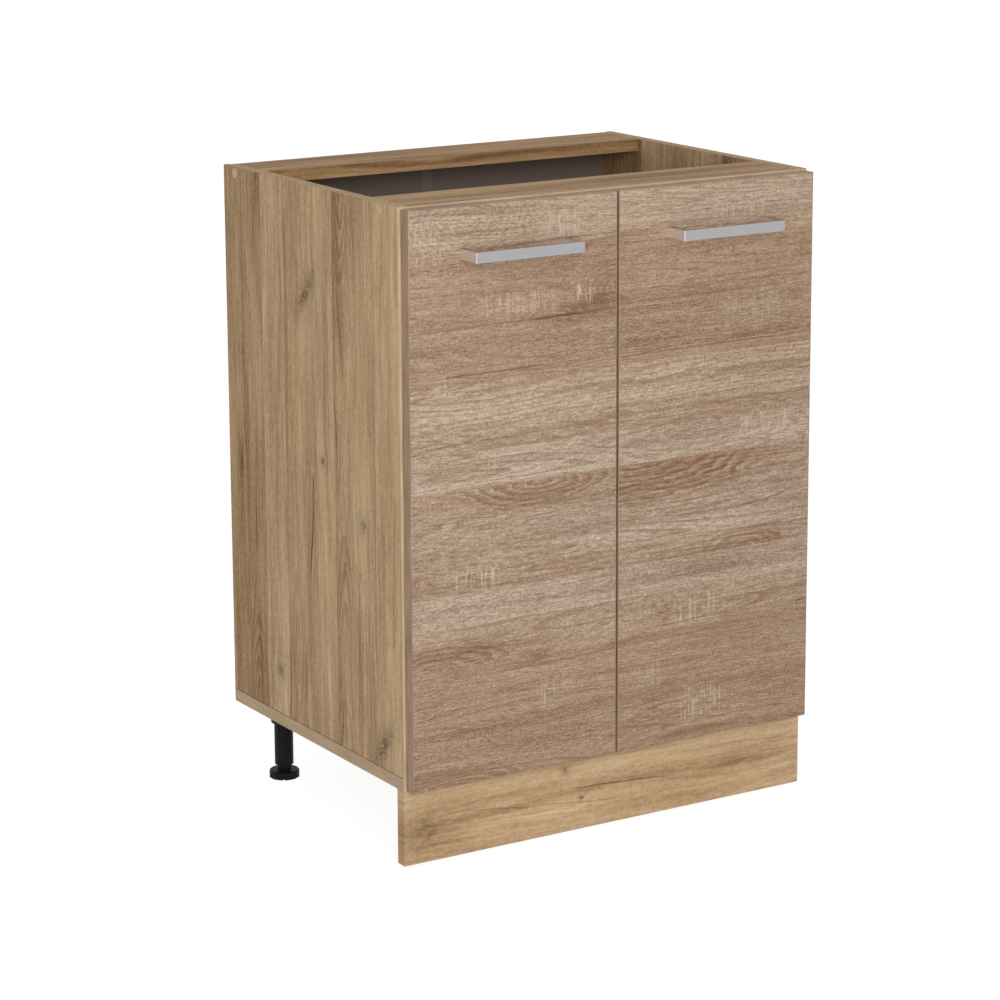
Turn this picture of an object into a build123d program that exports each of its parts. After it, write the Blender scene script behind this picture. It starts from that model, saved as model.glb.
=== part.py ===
from build123d import *
import os

# Two-door kitchen base cabinet on four legs, in millimetres. Widths are measured from the cabinet's
# middle, depths from the carcass's front plane towards the wall, and heights from the floor.
# write_piece moves everything so that the origin is under the middle of the whole cabinet.

# Carcass
carcass_width = 600
carcass_height = 720
carcass_depth = 446
board = 16
carcass_band = 0.5
leg_height = 100
front_rail_depth = 90
rear_rail_depth = 85

# Back, two thin boards joined by an upright profile
back_thickness = 3
back_inset = 1
back_rebate_width = 8
back_top_drop = 2
back_clearance = 0.5
profile_width = 16
profile_flange = 0.8
profile_web = 1.2
nail_radius = 0.8
nail_head_radius = 2
nail_head_thickness = 0.7
nail_length = 18
nail_edge_distance = 4
nail_rows = 4
nail_end_distance = 60
nail_width_shares = (0.25, 0.75)

# Shelf on four pins
shelf_side_clearance = 1
shelf_front_setback = 28
shelf_back_clearance = 2
shelf_height_share = 0.5
pin_hole_radius = 2.5
pin_hole_depth = 9.5
pin_hole_spacing = 32
pin_hole_rows = 3
pin_column_front = 52
pin_column_rear = 60
pin_clearance = 0.05
pin_shank = 8
pin_pad_length = 9
pin_pad_width = 10
pin_pad_thickness = 3

# Doors
door_thickness = 16
door_band = 1
door_carcass_gap = 2
door_side_inset = 3
door_middle_gap = 3
door_top_drop = 2.3
door_bottom_rise = 1.2

# Handles
handle_length = 153
handle_height = 13
handle_reach = 38
handle_bar = 4
handle_leg = 9
handle_inner_radius = 3
handle_outer_chamfer = 0.7
handle_drop = 59.5
handle_screw_radius = 2
handle_screw_depth = 11
handle_screw_head_radius = 4
handle_screw_head_height = 2.4

# Legs: socket under the bottom panel, tube, and a foot that screws into the tube
leg_side_inset = 45
leg_front_inset = 50
leg_rear_inset = 50
socket_flange_size = 64
socket_flange_corner = 9
socket_flange_thickness = 3
socket_collar_radius = 16.5
socket_collar_height = 24
socket_screw_offset = 24
tube_radius = 12.5
tube_socket_clearance = 0.1
tube_floor_distance = 18
tube_bore_height = 75
foot_radius = 20
foot_height = 10
foot_stem_radius = 9.25
foot_stem_clearance = 0.08
foot_stem_top = 62
foot_notches = 6
foot_notch_width = 2.6
foot_notch_depth = 3
foot_notch_height = 6
foot_chamfer = 1.2

# Plinth board and the clips that hold it to the front legs
plinth_floor_gap = 4
plinth_thickness = 16
clip_ring_wall = 2
clip_ring_clearance = 0.1
clip_height = 20
clip_middle_height = 52
clip_mouth_width = 20
clip_arm_width = 12
clip_plate_width = 34
clip_plate_thickness = 3
clip_screw_offset = 12

# Prisms that stand for small round parts: their shanks and pins, and their heads
shank_faces = 4
head_faces = 6
pin_faces = 6
knuckle_faces = 8
stem_faces = 8
cup_faces = 14
cap_faces = 12
leg_faces = 16

# Wood screws
screw_radius = 1.6
screw_head_radius = 3.4
screw_head_height = 1.8
screw_length = 14
screw_clearance = 0.05

# Confirmat screws that join the boards, and the caps over the ones that show
confirmat_head_radius = 4.9
confirmat_head_length = 4
confirmat_neck_radius = 3.4
confirmat_core_radius = 2.4
confirmat_length = 48
confirmat_sink = 0.8
confirmat_clearance = 0.1
front_rail_screw = 46
rear_rail_screw = 30
bottom_screw_inset = 42
cap_radius = 6.5
cap_top_radius = 5.5
cap_height = 1
cap_stem_radius = 4.8

# Dowels beside the rails' screws
dowel_radius = 4
dowel_length = 30
dowel_side_depth = 10
dowel_clearance = 0.05
front_rail_dowel = 75
rear_rail_dowel = 68

# Concealed hinges. Each place across is measured from the cabinet's outer side face, and each place
# forward from the carcass's front plane, for the closed door.
hinge_end_distance = 100
outer_arm_pivot = (29.66, -10.37)
inner_arm_pivot = (34.83, -16)
outer_cup_pivot = (10.6, 4.44)
inner_cup_pivot = (11.07, 9.9)
outer_link_bends = [(28, -6.56), (21.33, 1.66)]
inner_link_bends = [(34.06, 0), (23.79, 10.33), (18.3, 12.25)]
link_thickness = 1.6
outer_link_steps = 5
inner_link_steps = 8
outer_link_width = 10
inner_link_width = 6
link_side_clearance = 0.5
knuckle_radius = 2.2
hinge_pin_radius = 1.2
hinge_pin_across_flats = 1.2
hinge_pin_clearance = 0.05
eye_slot_length = 2.2
eye_slot_clearance = 0.3

# Hinge cup, let into the door
cup_edge_distance = 3
cup_radius = 17.4
cup_depth = 12.2
cup_wall = 0.8
cup_bore_clearance = 0.1
cup_flange = 1
cup_flange_radius = 19
cup_ear_radius = 6.5
cup_screw_spacing = 48
cup_screw_offset = 6
lug_thickness = 1.1
lug_clearance = 0.4
lug_radius = 2.4

# Hinge arm and its mounting plate on the side
arm_wall = 1.4
arm_inner_width = 14.4
arm_ear_radius = 3.2
arm_body_start = 22
arm_body_end = 62
arm_body_low = 19
arm_body_high = 28
plate_wing_thickness = 2.4
plate_wing_length = 44
plate_wing_width = 12
plate_wing_corner = 4
plate_screw_depth = 37
plate_screw_spacing = 32
plate_rib_start = 26
plate_rib_end = 60
plate_rib_width = 13.8
arm_screw_depths = (32, 54)
arm_screw_length = 8

# Overrun of every cut past the face it breaks through
overrun = 1

# Sizes that follow from the ones above
half_width = carcass_width / 2
inner_half_width = half_width - board
carcass_bottom = leg_height
carcass_top = leg_height + carcass_height
bottom_top = carcass_bottom + board
rail_underside = carcass_top - board
rail_middle = carcass_top - board / 2
back_face = carcass_depth - back_inset - back_thickness
back_outer = back_face + back_thickness
back_low = bottom_top - back_rebate_width + back_clearance
back_high = carcass_top - back_top_drop
rear_rail_back = back_face - profile_flange
rear_rail_front = rear_rail_back - rear_rail_depth
door_width = half_width - door_side_inset - door_middle_gap / 2
door_low = carcass_bottom + door_bottom_rise
door_high = carcass_top - door_top_drop
door_back = -door_carcass_gap
door_front = door_back - door_thickness
door_outer_edge = half_width - door_side_inset
door_inner_edge = door_middle_gap / 2
door_middle = (door_outer_edge + door_inner_edge) / 2
handle_face = door_front - handle_reach
handle_middle = carcass_top - handle_drop
handle_screw_spacing = handle_length - handle_leg
shelf_middle = bottom_top + (rail_underside - bottom_top) * shelf_height_share
shelf_low = shelf_middle - board / 2
pin_height = shelf_low - pin_pad_thickness / 2
footprint_middle = (handle_face + carcass_depth) / 2
upright = (Align.CENTER, Align.CENTER, Align.MIN)


def block(low, high):
    """A board or bar between two opposite corners."""
    size = [far - near for near, far in zip(low, high)]
    return Pos(*low) * Box(*size, align=(Align.MIN, Align.MIN, Align.MIN))


def prism(radius, length, faces):
    """A small round bar made with flats: its corners lie on the radius."""
    return extrude(RegularPolygon(radius, faces), amount=length)


def sleeve(radius, length, faces):
    """The space round a turning or sliding round bar: its flats lie on the radius."""
    return extrude(RegularPolygon(radius, faces, major_radius=False), amount=length)


def aimed(start, direction):
    """A place whose own upward axis points along a direction."""
    return Plane(origin=start, z_dir=direction).location


def mirrored(piece):
    """The same piece on the other side of the cabinet."""
    return mirror(piece, about=Plane.YZ)


def write_piece(name, *solids):
    """Moves the origin to the middle of the cabinet's footprint and writes one node."""
    placed = []
    for solid in solids:
        placed += (Pos(0, -footprint_middle, 0) * solid).solids()
    node = placed[0] if len(placed) == 1 else Compound(children=placed)
    node.label = name
    export_step(node, "parts/" + name + ".step")


# Screws and the holes that they need

def confirmat_screw():
    """Sunk head, plain neck through the first board, and a core in the second."""
    head = Pos(0, 0, confirmat_sink) * prism(confirmat_head_radius, confirmat_head_length, head_faces)
    neck = Pos(0, 0, confirmat_sink) * prism(confirmat_neck_radius, board - confirmat_sink, shank_faces)
    core = Pos(0, 0, confirmat_sink) * prism(confirmat_core_radius, confirmat_length, shank_faces)
    return head + neck + core


def confirmat_hole():
    """The stepped hole for a confirmat screw, open at the face where it starts."""
    head_depth = confirmat_sink + confirmat_head_length + overrun
    head = Pos(0, 0, -overrun) * prism(confirmat_head_radius + confirmat_clearance, head_depth, head_faces)
    neck = prism(confirmat_neck_radius + confirmat_clearance, board, shank_faces)
    core_end = confirmat_sink + confirmat_length + confirmat_clearance
    return head + neck + prism(confirmat_core_radius + confirmat_clearance, core_end, shank_faces)


def headed(head_radius, head_height, radius, length):
    """A screw or nail whose head lies on the face where it starts."""
    head = Pos(0, 0, -head_height) * prism(head_radius, head_height, head_faces)
    return head + prism(radius, length, shank_faces)


def shank_hole(radius, length):
    """The hole for a screw's or nail's shank."""
    depth = length + screw_clearance
    return Pos(0, 0, -overrun) * prism(radius + screw_clearance, depth + overrun, shank_faces)


def screw(length=screw_length):
    """A pan-head screw."""
    return headed(screw_head_radius, screw_head_height, screw_radius, length)


def screw_hole(length=screw_length):
    """The hole for a pan-head screw."""
    return shank_hole(screw_radius, length)


# Places of what joins the boards, on the left side of the cabinet

rail_screws = [
    aimed((-half_width, depth, rail_middle), (1, 0, 0))
    for depth in (front_rail_screw, carcass_depth - rear_rail_screw)
]
bottom_screws = [
    aimed((-half_width + board / 2, depth, carcass_bottom), (0, 0, 1))
    for depth in (bottom_screw_inset, carcass_depth / 2, carcass_depth - bottom_screw_inset)
]
dowels = [
    aimed((-inner_half_width - dowel_side_depth, depth, rail_middle), (1, 0, 0))
    for depth in (front_rail_dowel, carcass_depth - rear_rail_dowel)
]
shelf_pins = [
    aimed((-inner_half_width, depth, pin_height), (-1, 0, 0))
    for depth in (pin_column_front, carcass_depth - pin_column_rear)
]


def dowel(clearance=0):
    """A dowel, or with a clearance the hole that it needs."""
    return Pos(0, 0, -clearance) * prism(dowel_radius + clearance, dowel_length + 2 * clearance, pin_faces)


def nail_places():
    """Where nails hold the left half of the back, each aimed into the board behind it."""
    places = []
    first, last = bottom_top + nail_end_distance, carcass_top - nail_end_distance
    for row in range(nail_rows):
        height = first + (last - first) * row / (nail_rows - 1)
        places.append((-inner_half_width - nail_edge_distance, height))
    for width_share in nail_width_shares:
        across = -inner_half_width * width_share
        places.append((across, bottom_top - nail_edge_distance))
        places.append((across, rail_middle))
    return [aimed((across, back_outer, height), (0, -1, 0)) for across, height in places]


def nail():
    """A nail of the back."""
    return headed(nail_head_radius, nail_head_thickness, nail_radius, nail_length)


def nail_hole():
    """The hole that a nail makes."""
    return shank_hole(nail_radius, nail_length)


# Carcass boards

def back_rebate():
    """The space that the sides and the bottom leave open behind for the back."""
    return block(
        (-inner_half_width - back_rebate_width, back_face, bottom_top - back_rebate_width),
        (inner_half_width + back_rebate_width, carcass_depth + overrun, carcass_top + overrun),
    )


def side_panel():
    """The left side: it stands on the bottom panel and takes the rails, shelf pins and hinges."""
    panel = block((-half_width, carcass_band, bottom_top), (-inner_half_width, carcass_depth, carcass_top))
    panel -= back_rebate()
    holes = [place * confirmat_hole() for place in rail_screws + bottom_screws]
    holes += [place * dowel(dowel_clearance) for place in dowels]
    holes += [place * nail_hole() for place in nail_places()]
    holes += [place * screw_hole() for place in plate_screw_places()]
    pin_hole = Pos(0, 0, -overrun) * prism(pin_hole_radius, pin_hole_depth + overrun, pin_faces)
    for place in shelf_pins:
        for row in range(pin_hole_rows):
            rise = (row - (pin_hole_rows - 1) / 2) * pin_hole_spacing
            holes.append(Pos(0, 0, rise) * place * pin_hole)
    return panel - holes


def bottom_panel():
    """The bottom panel, full width and depth under the sides, drilled for them and for the legs."""
    panel = block(
        (-half_width + carcass_band, carcass_band, carcass_bottom),
        (half_width - carcass_band, carcass_depth, bottom_top),
    )
    panel -= back_rebate()
    holes = [place * confirmat_hole() for place in bottom_screws]
    holes += [place * nail_hole() for place in nail_places()]
    holes += [mirrored(hole) for hole in holes]
    holes += [place * screw_hole() for place in leg_screw_places()]
    return panel - holes


def top_rail(front, rear):
    """A rail that lies flat between the tops of the sides."""
    rail = block((-inner_half_width, front, rail_underside), (inner_half_width, rear, carcass_top))
    holes = [place * confirmat_hole() for place in rail_screws]
    holes += [place * dowel(dowel_clearance) for place in dowels]
    holes += [place * nail_hole() for place in nail_places()]
    return rail - holes - [mirrored(hole) for hole in holes]


def back_panel():
    """The left half of the back, in its rebate and the profile's slot."""
    panel = block(
        (-inner_half_width - back_rebate_width + back_clearance, back_face, back_low),
        (-profile_web / 2 - back_clearance, back_outer, back_high),
    )
    return panel - [place * nail_hole() for place in nail_places()]


def back_profile():
    """The H-shaped upright that joins the two halves of the back."""
    flange = Rectangle(profile_width, profile_flange)
    flange_offset = (back_thickness + profile_flange) / 2
    section = Rectangle(profile_web, back_thickness)
    section += [Pos(0, flange_offset) * flange, Pos(0, -flange_offset) * flange]
    start = bottom_top + back_clearance
    place = Pos(0, (back_face + back_outer) / 2, start)
    return place * extrude(section, amount=back_high - start)


def shelf_front():
    """How far behind the carcass's front plane the shelf starts."""
    return carcass_band + shelf_front_setback


def shelf():
    """The adjustable shelf, without its front band."""
    reach = inner_half_width - shelf_side_clearance
    return block(
        (-reach, shelf_front() + carcass_band, shelf_low),
        (reach, back_face - shelf_back_clearance, shelf_low + board),
    )


def shelf_pin():
    """A shelf pin: a shank in the side and a flat pad that the shelf lies on."""
    pad = Box(pin_pad_thickness, pin_pad_width, pin_pad_length, align=(Align.CENTER, Align.CENTER, Align.MAX))
    pad = chamfer(pad.edges().filter_by(Axis.X).sort_by(Axis.Z)[:2], pin_pad_thickness)
    return pad + prism(pin_hole_radius - pin_clearance, pin_shank, pin_faces)


def carcass_bands():
    """Edge bands of the sides, the bottom's front and ends, the front rail and the shelf."""
    side = block((-half_width, 0, bottom_top), (-inner_half_width, carcass_band, carcass_top))
    bottom_end = block(
        (-half_width, 0, carcass_bottom), (-half_width + carcass_band, carcass_depth, bottom_top)
    )
    bottom_front = block(
        (-half_width + carcass_band, 0, carcass_bottom),
        (half_width - carcass_band, carcass_band, bottom_top),
    )
    rail = block((-inner_half_width, 0, rail_underside), (inner_half_width, carcass_band, carcass_top))
    reach = inner_half_width - shelf_side_clearance
    shelf_band = block(
        (-reach, shelf_front(), shelf_low), (reach, shelf_front() + carcass_band, shelf_low + board)
    )
    return [side, mirrored(side), bottom_end, mirrored(bottom_end), bottom_front, rail, shelf_band]


def cover_cap():
    """The cap over a screw head that shows on a side."""
    rim = RegularPolygon(cap_radius, cap_faces)
    top = Pos(0, 0, cap_height) * RegularPolygon(cap_top_radius, cap_faces)
    stem = Pos(0, 0, -confirmat_sink) * prism(cap_stem_radius, confirmat_sink, head_faces)
    return loft([rim, top], ruled=True) + stem


# Legs and plinth

leg_places = {
    "front_left": (-half_width + leg_side_inset, leg_front_inset),
    "front_right": (half_width - leg_side_inset, leg_front_inset),
    "rear_left": (-half_width + leg_side_inset, carcass_depth - leg_rear_inset),
    "rear_right": (half_width - leg_side_inset, carcass_depth - leg_rear_inset),
}
socket_low = carcass_bottom - socket_collar_height
flange_low = carcass_bottom - socket_flange_thickness


def leg_screw_places():
    """Where screws go up through the sockets' flanges, head side first."""
    offsets = (-socket_screw_offset, socket_screw_offset)
    return [
        aimed((across + side, depth + way, flange_low), (0, 0, 1))
        for across, depth in leg_places.values()
        for side in offsets
        for way in offsets
    ]


def leg_socket():
    """The socket: a flange under the bottom panel and a collar that the tube pushes into."""
    plate = chamfer(Rectangle(socket_flange_size, socket_flange_size).vertices(), socket_flange_corner)
    flange = Pos(0, 0, flange_low) * extrude(plate, amount=socket_flange_thickness)
    collar = Pos(0, 0, socket_low) * prism(socket_collar_radius, socket_collar_height, leg_faces)
    bore = Pos(0, 0, socket_low - overrun) * sleeve(
        tube_radius + tube_socket_clearance, flange_low - socket_low + overrun, stem_faces
    )
    return flange + collar - bore


def leg_tube():
    """The tube, pushed into the socket, with a bore that the foot's stem screws up into."""
    tube = Pos(0, 0, tube_floor_distance) * prism(tube_radius, flange_low - tube_floor_distance, leg_faces)
    bore = Pos(0, 0, tube_floor_distance - overrun) * prism(
        foot_stem_radius + foot_stem_clearance, tube_bore_height - tube_floor_distance + overrun, stem_faces
    )
    return tube - bore


def leg_foot():
    """The foot: a disc with grip notches round its lower rim, and a stem."""
    disc = prism(foot_radius, foot_height, leg_faces)
    disc = chamfer(disc.edges().group_by(Axis.Z)[-1], foot_chamfer)
    notch = Pos(foot_radius, 0, 0) * Box(
        2 * foot_notch_depth, foot_notch_width, foot_notch_height, align=upright
    )
    disc -= [Rot(0, 0, 360 * turn / foot_notches) * notch for turn in range(foot_notches)]
    return disc + prism(foot_stem_radius, foot_stem_top, stem_faces)


def plinth_board():
    """The plinth, flush with the carcass's front plane and drilled for its clips."""
    plinth = block((-half_width, 0, plinth_floor_gap), (half_width, plinth_thickness, carcass_bottom))
    return plinth - [place * screw_hole() for place in clip_screw_places()]


def clip_screw_places():
    """Where screws go forward through the clips' plates into the plinth."""
    return [
        aimed((across + side, plinth_thickness + clip_plate_thickness, clip_middle_height), (0, -1, 0))
        for across in (-half_width + leg_side_inset, half_width - leg_side_inset)
        for side in (-clip_screw_offset, clip_screw_offset)
    ]


def plinth_clip():
    """A clip for the left front leg: an open ring, an arm, and a plate behind the plinth."""
    across, depth = leg_places["front_left"]
    ring_inner = tube_radius + clip_ring_clearance
    ring_outer = ring_inner + clip_ring_wall
    plate_rear = plinth_thickness + clip_plate_thickness
    ring = Pos(across, depth) * RegularPolygon(ring_outer, leg_faces, major_radius=False)
    arm_length = depth - plate_rear
    arm = Pos(across, depth - arm_length / 2) * Rectangle(clip_arm_width, arm_length)
    plate = Pos(across, plinth_thickness + clip_plate_thickness / 2) * Rectangle(
        clip_plate_width, clip_plate_thickness
    )
    mouth = Pos(across, depth + ring_outer) * Rectangle(clip_mouth_width, 2 * ring_outer)
    section = ring + arm + plate - mouth
    section -= Pos(across, depth) * RegularPolygon(ring_inner, leg_faces, major_radius=False)
    clip = Pos(0, 0, clip_middle_height - clip_height / 2) * extrude(section, amount=clip_height)
    return clip - [place * screw_hole() for place in clip_screw_places()]


# Hinges of the left door. Their own frame has the cabinet's outer side face at x = 0, the carcass's
# front plane at y = 0 and the hinge's middle at z = 0.

hinge_places = {
    "lower": Pos(-half_width, 0, door_low + hinge_end_distance),
    "upper": Pos(-half_width, 0, door_high - hinge_end_distance),
}
cup_middle = door_side_inset + cup_edge_distance + cup_radius
cup_face = Plane(origin=(cup_middle, door_back, 0), x_dir=(1, 0, 0), z_dir=(0, -1, 0)).location
arm_outer_width = arm_inner_width + 2 * arm_wall
lug_reach = outer_link_width + 2 * lug_clearance + 2 * lug_thickness


def flat(place):
    """A place across and forward as a point of the hinge's own frame."""
    across, forward = place
    return (across, -forward)


def across_hinge(section, width):
    """A section in the hinge's plane, given its width along the hinge's height."""
    return Pos(0, 0, -width / 2) * extrude(section, amount=width)


def twin_plates(section, width, gap):
    """Two plates of one outline, with a gap between them at the hinge's middle."""
    return across_hinge(section, width) - across_hinge(section, gap)


def round_pivot(place, radius):
    """The outline of the metal round a pivot."""
    return Pos(*flat(place)) * RegularPolygon(radius, knuckle_faces)


def hinge_pin(place, width):
    """A pivot pin through the hinge, with two flats that keep it from turning where it is riveted."""
    section = Circle(hinge_pin_radius) & Rectangle(2 * hinge_pin_radius, hinge_pin_across_flats)
    return across_hinge(Pos(*flat(place)) * section, width)


def pin_bore(place, width):
    """The running hole for a pivot pin: its flats clear the pin's radius."""
    bore = RegularPolygon(hinge_pin_radius + hinge_pin_clearance, pin_faces, major_radius=False)
    return across_hinge(Pos(*flat(place)) * bore, width)


def cranked_bar(start, bends, end, steps):
    """The outline of a link's bar, bent in straight steps so that it clears the door's edge and the side."""
    path = Spline([flat(start)] + [flat(bend) for bend in bends] + [flat(end)])
    shares = [step / steps for step in range(steps + 1)]
    rows = [
        [path @ share + (path % share).rotate(Axis.Z, turn) * link_thickness / 2 for share in shares]
        for turn in (90, -90)
    ]
    return make_face(Polyline(*rows[0], *reversed(rows[1]), close=True))


def outer_link():
    """The outer link: a plate on either side of the inner link, joined by a bush on the arm's pin."""
    outline = cranked_bar(outer_arm_pivot, outer_link_bends, outer_cup_pivot, outer_link_steps)
    outline += round_pivot(outer_cup_pivot, knuckle_radius)
    link = twin_plates(outline, outer_link_width, inner_link_width + 2 * link_side_clearance)
    link += across_hinge(round_pivot(outer_arm_pivot, knuckle_radius), outer_link_width)
    reach = outer_link_width + overrun
    return link - pin_bore(outer_arm_pivot, reach) - pin_bore(outer_cup_pivot, reach)


def eye_slot(radius):
    """An outline round the inner arm pin's path in its link: the pivot where the linkage is opened."""
    start = Vector(*flat(inner_arm_pivot))
    away = (start - Vector(*flat(inner_cup_pivot))).normalized()
    outline = RegularPolygon(radius, knuckle_faces)
    ends = Pos(start) * outline + Pos(start + away * eye_slot_length) * outline
    return make_hull(ends.edges())


def inner_link():
    """The inner link: one wide bar between the outer link's plates, with a slotted eye in the arm."""
    outline = cranked_bar(inner_arm_pivot, inner_link_bends, inner_cup_pivot, inner_link_steps)
    outline += round_pivot(inner_cup_pivot, knuckle_radius)
    outline += eye_slot(knuckle_radius + eye_slot_clearance)
    outline -= eye_slot(hinge_pin_radius + eye_slot_clearance)
    return across_hinge(outline, inner_link_width) - pin_bore(inner_cup_pivot, inner_link_width + overrun)


def cup_screw_places():
    """Where screws go through the cup's ears into the door."""
    across = cup_middle + cup_screw_offset
    heights = (-cup_screw_spacing / 2, cup_screw_spacing / 2)
    return [aimed((across, door_back + cup_flange, height), (0, -1, 0)) for height in heights]


def hinge_cup():
    """The pressed cup: bowl, flange with two screw ears, and two lugs that hold the pins."""
    outline = RegularPolygon(cup_flange_radius, cup_faces)
    ear = RegularPolygon(cup_ear_radius, knuckle_faces)
    for side in (-1, 1):
        outline += Pos(cup_screw_offset, side * cup_screw_spacing / 2) * ear
    flange = Pos(0, 0, -cup_flange) * extrude(make_hull(outline.edges()), amount=cup_flange)
    cup = flange + prism(cup_radius, cup_depth, cup_faces)
    hollow = Pos(0, 0, -cup_flange - overrun) * prism(
        cup_radius - cup_wall, cup_flange + overrun + cup_depth - cup_wall, cup_faces
    )
    cup = cup_face * (cup - hollow)
    lug_foot = door_carcass_gap + cup_depth - cup_wall / 2 - lug_radius
    lug = round_pivot(outer_cup_pivot, lug_radius) + round_pivot(inner_cup_pivot, lug_radius)
    lug += round_pivot((outer_cup_pivot[0], lug_foot), lug_radius)
    lug += round_pivot((inner_cup_pivot[0] + lug_radius, lug_foot), lug_radius)
    lugs = twin_plates(make_hull(lug.edges()), lug_reach, lug_reach - 2 * lug_thickness)
    cup += lugs & (cup_face * prism(cup_radius - cup_wall / 2, cup_depth, cup_faces))
    for pivot in (outer_cup_pivot, inner_cup_pivot):
        cup -= pin_bore(pivot, lug_reach + overrun)
    return cup - [place * screw_hole() for place in cup_screw_places()]


def plate_screw_places():
    """Where screws go through the mounting plates into the left side, for both hinges."""
    across = board + plate_wing_thickness
    heights = (-plate_screw_spacing / 2, plate_screw_spacing / 2)
    return [
        place * aimed((across, plate_screw_depth, height), (-1, 0, 0))
        for place in hinge_places.values()
        for height in heights
    ]


def arm_screw_places():
    """Where screws go through the arm's web into the mounting plate's rib."""
    return [aimed((arm_body_high, depth, 0), (-1, 0, 0)) for depth in arm_screw_depths]


def mounting_plate(height_place):
    """The cross-shaped mounting plate: wings against the side, and the rib that carries the arm."""
    outline = Pos(plate_screw_depth, 0) * Rectangle(plate_wing_width, plate_wing_length)
    outline = chamfer(outline.vertices(), plate_wing_corner)
    side_face = Plane(origin=(board, 0, 0), x_dir=(0, 1, 0), z_dir=(1, 0, 0))
    wings = side_face * extrude(outline, amount=plate_wing_thickness)
    rib = block(
        (board, plate_rib_start, -plate_rib_width / 2),
        (arm_body_high - arm_wall, plate_rib_end, plate_rib_width / 2),
    )
    rib = chamfer(rib.edges().filter_by(Axis.Z).sort_by(Axis.X)[-2:], plate_wing_thickness)
    arm_holes = [place * screw_hole(arm_screw_length) for place in arm_screw_places()]
    plate = height_place * (wings + rib - arm_holes)
    return plate - [place * screw_hole() for place in plate_screw_places()]


def hinge_arm():
    """The arm: a channel over the plate's rib whose ears carry the two arm pins."""
    body = Pos((arm_body_low + arm_body_high) / 2, (arm_body_start + arm_body_end) / 2) * Rectangle(
        arm_body_high - arm_body_low, arm_body_end - arm_body_start
    )
    front = Pos((arm_body_low + arm_body_high) / 2, arm_body_start + arm_ear_radius) * Rectangle(
        arm_body_high - arm_body_low, 2 * arm_ear_radius
    )
    nose = front + [round_pivot(place, arm_ear_radius) for place in (outer_arm_pivot, inner_arm_pivot)]
    side = body + make_hull(nose.edges())
    walls = twin_plates(side, arm_outer_width, arm_inner_width)
    web = block(
        (arm_body_high - arm_wall, arm_body_start + arm_ear_radius, -arm_outer_width / 2),
        (arm_body_high, arm_body_end, arm_outer_width / 2),
    )
    arm = walls + web
    for place in (outer_arm_pivot, inner_arm_pivot):
        arm -= pin_bore(place, arm_outer_width + overrun)
    return arm - [place * screw_hole(arm_screw_length) for place in arm_screw_places()]


# Doors and handles, on the left

def door_board():
    """The left door without its bands, bored for two hinge cups and for the handle's screws."""
    panel = block(
        (-door_outer_edge + door_band, door_front, door_low + door_band),
        (-door_inner_edge - door_band, door_back, door_high - door_band),
    )
    bore = cup_face * prism(cup_radius + cup_bore_clearance, cup_depth + cup_bore_clearance, cup_faces)
    for place in hinge_places.values():
        panel -= place * bore
        panel -= [place * hole * screw_hole() for hole in cup_screw_places()]
    return panel - [place * handle_screw_hole() for place in handle_screw_places()]


def door_bands():
    """The four edge bands of the left door."""
    left, right = -door_outer_edge + door_band, -door_inner_edge - door_band
    return [
        block((-door_outer_edge, door_front, door_low), (left, door_back, door_high)),
        block((right, door_front, door_low), (-door_inner_edge, door_back, door_high)),
        block((left, door_front, door_low), (right, door_back, door_low + door_band)),
        block((left, door_front, door_high - door_band), (right, door_back, door_high)),
    ]


def handle_screw_places():
    """Where the handle's screws go forward through the left door."""
    return [
        aimed((-door_middle + side * handle_screw_spacing / 2, door_back, handle_middle), (0, -1, 0))
        for side in (-1, 1)
    ]


def handle():
    """The left handle: a flat bar with a flat leg at each end."""
    middle = Pos(-door_middle, door_front - handle_reach / 2)
    outline = middle * Rectangle(handle_length, handle_reach)
    outline = chamfer(outline.vertices().group_by(Axis.Y)[0], handle_outer_chamfer)
    grip = Pos(0, handle_bar) * middle * Rectangle(handle_length - 2 * handle_leg, handle_reach)
    grip = fillet(grip.vertices().group_by(Axis.Y)[0], handle_inner_radius)
    bow = Pos(0, 0, handle_middle - handle_height / 2) * extrude(outline - grip, amount=handle_height)
    return bow - [place * handle_screw_hole() for place in handle_screw_places()]


def handle_screw():
    """A handle screw, from its head behind the door to its end in the handle's leg."""
    length = door_thickness + handle_screw_depth
    return headed(handle_screw_head_radius, handle_screw_head_height, handle_screw_radius, length)


def handle_screw_hole():
    """The hole for a handle screw, through the door and into the handle's leg."""
    return shank_hole(handle_screw_radius, door_thickness + handle_screw_depth)


def both_sides(pieces):
    """Pieces of the left side of the cabinet together with the same on the right."""
    return pieces + [mirrored(piece) for piece in pieces]


def write_pair(name, pieces):
    """Writes a node for the left side of the cabinet and one for the right."""
    write_piece(name + "_left", *pieces)
    write_piece(name + "_right", *[mirrored(piece) for piece in pieces])


os.makedirs("parts", exist_ok=True)

write_pair("side", [side_panel()])
write_piece("bottom_panel", bottom_panel())
write_piece("top_rail_front", top_rail(carcass_band, front_rail_depth))
write_piece("top_rail_rear", top_rail(rear_rail_front, rear_rail_back))
write_pair("back_panel", [back_panel()])
write_piece("back_joint_profile", back_profile())
write_piece("back_nails", *both_sides([place * nail() for place in nail_places()]))
write_piece("shelf", shelf())
write_piece("shelf_pins", *both_sides([place * shelf_pin() for place in shelf_pins]))
write_piece("carcass_edge_bands", *carcass_bands())
confirmat_places = rail_screws + bottom_screws
write_piece("confirmat_screws", *both_sides([place * confirmat_screw() for place in confirmat_places]))
write_piece("screw_cover_caps", *both_sides([
    Pos(-half_width, 0, 0) * aimed((0, depth, rail_middle), (-1, 0, 0)) * cover_cap()
    for depth in (front_rail_screw, carcass_depth - rear_rail_screw)
]))
write_piece("dowels", *both_sides([place * dowel() for place in dowels]))

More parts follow.
